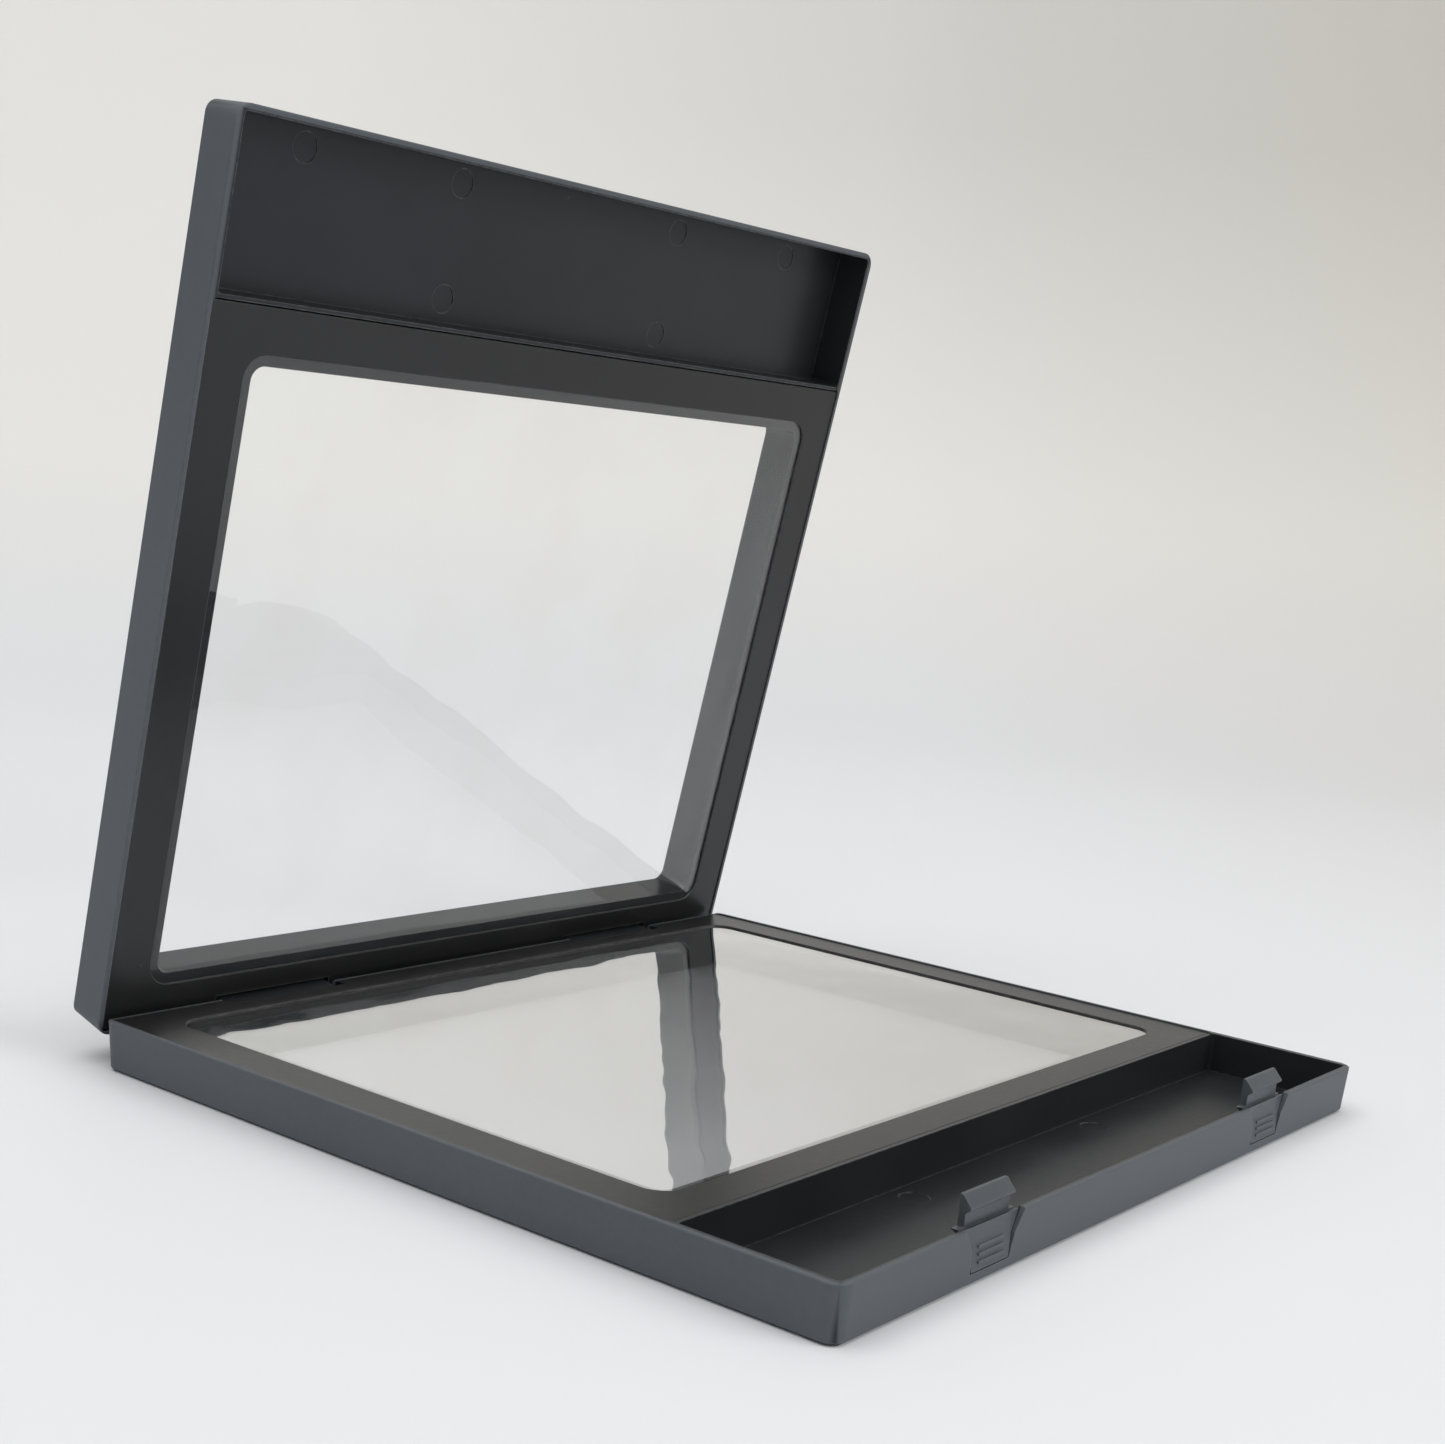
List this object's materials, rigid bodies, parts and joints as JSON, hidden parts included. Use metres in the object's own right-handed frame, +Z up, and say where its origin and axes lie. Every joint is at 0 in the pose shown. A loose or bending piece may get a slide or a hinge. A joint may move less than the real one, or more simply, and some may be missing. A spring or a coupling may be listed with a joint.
{
  "type": "floating film display case",
  "caption": "Hinged black plastic shadow box: two framed halves with stretched clear films that hold an object between them, storage pocket and two push latches.",
  "frame": {"origin": "centre of the base's underside, the face it rests on", "axes": "+X along the hinge, to the right seen from the latch side; +Y from the latches to the hinge; +Z up from the table"},
  "size_m": [0.219, 0.2127, 0.2044],
  "materials": {
    "shell_plastic": "fine matte grain",
    "bezel_plastic": "fine satin grain",
    "latch_plastic": "fine matte grain",
    "clear_film": "clear glossy stretched film",
    "pin_steel": "plain drawn steel"
  },
  "bodies": {
    "base": {"base_shell": "shell_plastic", "base_bezel": "bezel_plastic", "base_film": "clear_film", "hinge_pin_left": "pin_steel", "hinge_pin_right": "pin_steel"},
    "lid": {"lid_shell": "shell_plastic", "lid_bezel": "bezel_plastic", "lid_film": "clear_film"},
    "latch_left": {"latch_left": "latch_plastic"},
    "latch_right": {"latch_right": "latch_plastic"}
  },
  "joints": [
    {"name": "lid_hinge", "type": "hinge", "parent": "base", "child": "lid", "pos_m": [0, 0.0978, 0.0082], "axis": [-1, 0, 0], "range_deg": [-79.2, 22.8]},
    {"name": "latch_left_push", "type": "hinge", "parent": "base", "child": "latch_left", "pos_m": [-0.06, -0.09834, 0.00345], "axis": [-1, 0, 0], "range_deg": [0, 8], "stiffness_Nm_per_rad": 0.2, "springref_deg": -2.86},
    {"name": "latch_right_push", "type": "hinge", "parent": "base", "child": "latch_right", "pos_m": [0.06, -0.09834, 0.00345], "axis": [-1, 0, 0], "range_deg": [0, 8], "stiffness_Nm_per_rad": 0.2, "springref_deg": -2.86}
  ]
}
